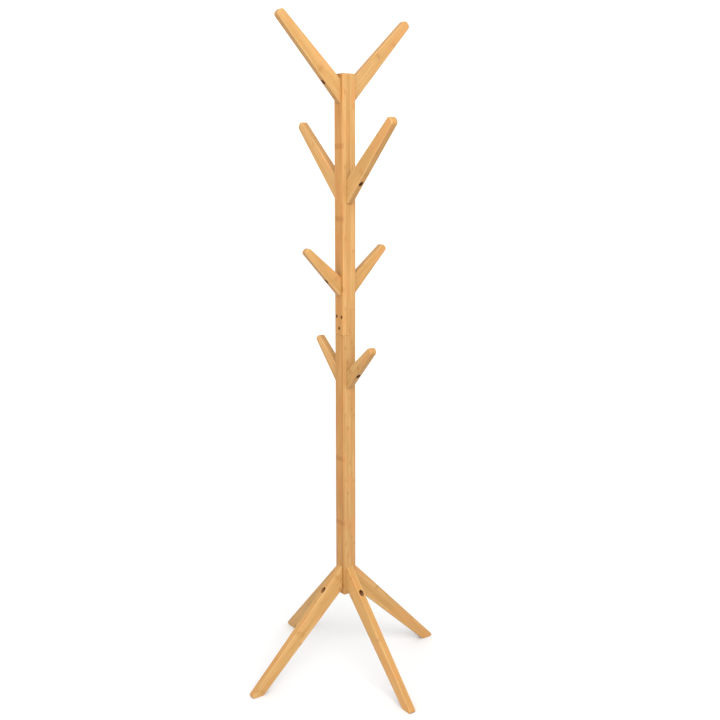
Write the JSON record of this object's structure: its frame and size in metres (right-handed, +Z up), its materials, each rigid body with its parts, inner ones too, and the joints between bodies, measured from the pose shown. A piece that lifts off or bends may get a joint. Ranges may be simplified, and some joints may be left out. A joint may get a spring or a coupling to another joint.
{
  "type": "standing coat rack",
  "caption": "Free-standing wooden coat rack: a square post on raking legs with tapered arms that rise in tiers on alternate sides to hold coats, hats and bags.",
  "frame": {"origin": "on the floor, on the post's centre line, at the centre of the object's box", "axes": "+Z up the post; -Y is the front, where one leg and the arms of tiers 2 and 4 point; -X is the left, where the lap screws are driven and the arms of tiers 1 and 3 point"},
  "size_m": [0.5946, 0.5946, 1.7066],
  "materials": {
    "bamboo": "laminated bamboo under a clear satin varnish",
    "dowel_wood": "plain unfinished beech",
    "bolt_steel": "zinc-plated, satin, dulled in the shade of the hole",
    "insert_brass": "plain turned brass"
  },
  "bodies": {
    "root": {"post_upper": "bamboo", "post_lower": "bamboo", "arm_tier_1_left": "bamboo", "arm_tier_1_right": "bamboo", "arm_tier_2_front": "bamboo", "arm_tier_2_back": "bamboo", "arm_tier_3_left": "bamboo", "arm_tier_3_right": "bamboo", "arm_tier_4_front": "bamboo", "arm_tier_4_back": "bamboo", "leg_left": "bamboo", "leg_right": "bamboo", "leg_front": "bamboo", "leg_back": "bamboo", "arm_bolts": "bolt_steel", "arm_inserts": "insert_brass", "arm_dowels": "dowel_wood", "leg_bolts": "bolt_steel", "leg_inserts": "insert_brass", "leg_dowels": "dowel_wood", "lap_screws": "bolt_steel"}
  },
  "joints": []
}
